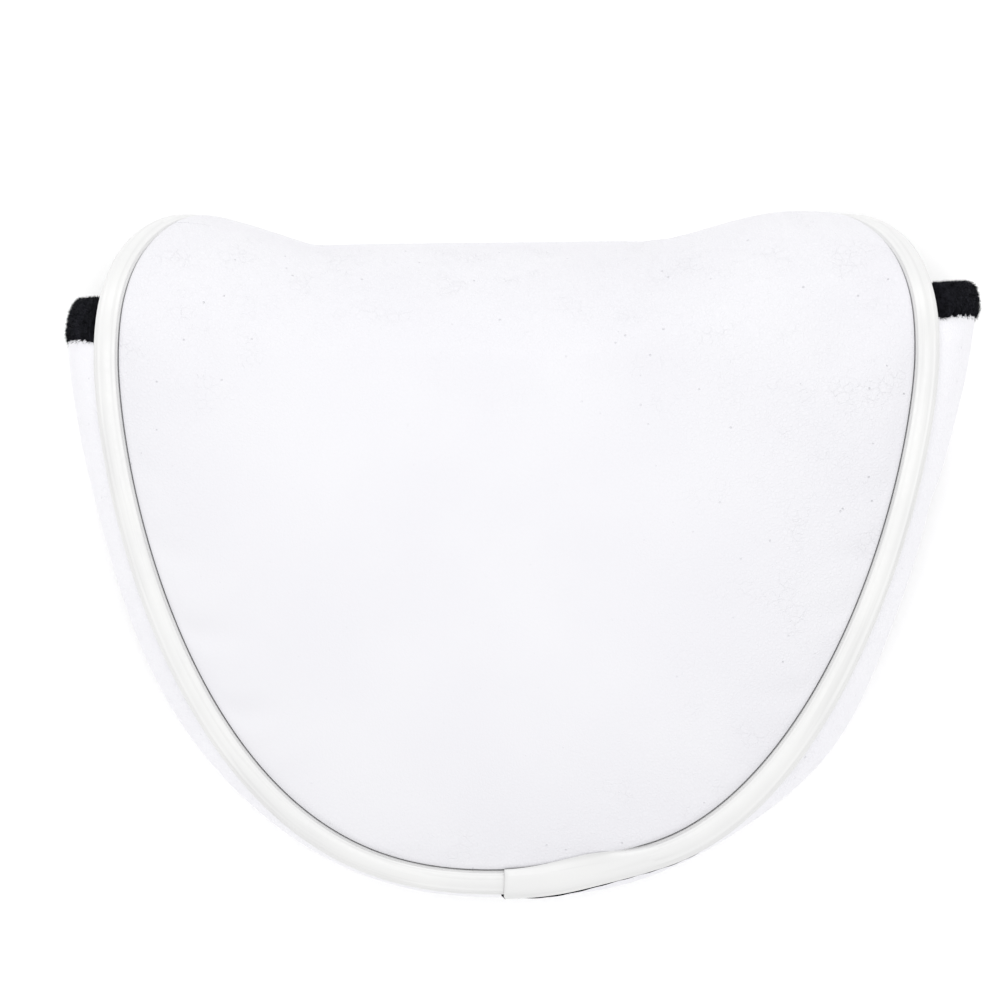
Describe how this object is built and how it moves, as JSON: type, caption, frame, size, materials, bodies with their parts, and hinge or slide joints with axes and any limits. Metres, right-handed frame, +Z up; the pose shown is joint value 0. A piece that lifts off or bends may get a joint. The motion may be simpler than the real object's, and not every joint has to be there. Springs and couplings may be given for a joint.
{
  "type": "putter head cover",
  "caption": "Padded D-shaped pouch for a mallet putter head, with piped seams, a plush lining, and a front panel that rolls over the mouth into a flap held by magnets.",
  "frame": {"origin": "under the middle of the cover, on the surface that it lies on", "axes": "+Z up out of the front panel, +Y from the curved end to the mouth, +X to the right seen from above"},
  "size_m": [0.1425, 0.107, 0.0479],
  "materials": {
    "leather": "pale leather with a fine creased grain, satin",
    "piping": "smooth vinyl, soft gloss",
    "plush": "short black pile, matt",
    "foam": "open-cell foam, matt",
    "cord": "twisted filler cord, matt",
    "magnet": "bright nickel plate"
  },
  "bodies": {
    "cover": {"front_leather": "leather", "front_foam": "foam", "front_lining": "plush", "front_piping_wrap": "piping", "front_piping_cord": "cord", "front_piping_lap": "piping", "back_leather": "leather", "back_foam": "foam", "back_lining": "plush", "back_lip_binding": "plush", "back_magnet_left": "magnet", "back_magnet_right": "magnet", "back_piping_wrap": "piping", "back_piping_cord": "cord", "gusset_leather": "leather", "gusset_foam": "foam", "gusset_lining": "plush", "mouth_binding_left": "plush", "mouth_binding_right": "plush"},
    "roll_upper": {"roll_upper_leather": "leather", "roll_upper_foam": "foam", "roll_upper_lining": "plush", "roll_upper_piping_wrap_left": "piping", "roll_upper_piping_wrap_right": "piping", "roll_upper_piping_cord_left": "cord", "roll_upper_piping_cord_right": "cord"},
    "roll_lower": {"roll_lower_leather": "leather", "roll_lower_foam": "foam", "roll_lower_lining": "plush", "roll_lower_piping_wrap_left": "piping", "roll_lower_piping_wrap_right": "piping", "roll_lower_piping_cord_left": "cord", "roll_lower_piping_cord_right": "cord"},
    "flap": {"flap_leather": "leather", "flap_foam": "foam", "flap_lining": "plush", "flap_piping_wrap": "piping", "flap_piping_cord": "cord", "flap_magnet_left": "magnet", "flap_magnet_right": "magnet"}
  },
  "joints": [
    {"name": "roll_top_fold", "type": "hinge", "parent": "cover", "child": "roll_upper", "pos_m": [0, 0.04416, 0.04112], "axis": [1, 0, 0], "range_deg": [0, 58]},
    {"name": "roll_middle_fold", "type": "hinge", "parent": "roll_upper", "child": "roll_lower", "pos_m": [0, 0.05294, 0.0214], "axis": [1, 0, 0], "range_deg": [0, 58]},
    {"name": "flap_fold", "type": "hinge", "parent": "roll_lower", "child": "flap", "pos_m": [0, 0.0415, 0.00308], "axis": [1, 0, 0], "range_deg": [0, 58]}
  ],
  "couplings": [
    {"joint": "roll_middle_fold", "follows": "roll_top_fold", "ratio": 1},
    {"joint": "flap_fold", "follows": "roll_top_fold", "ratio": 1}
  ]
}
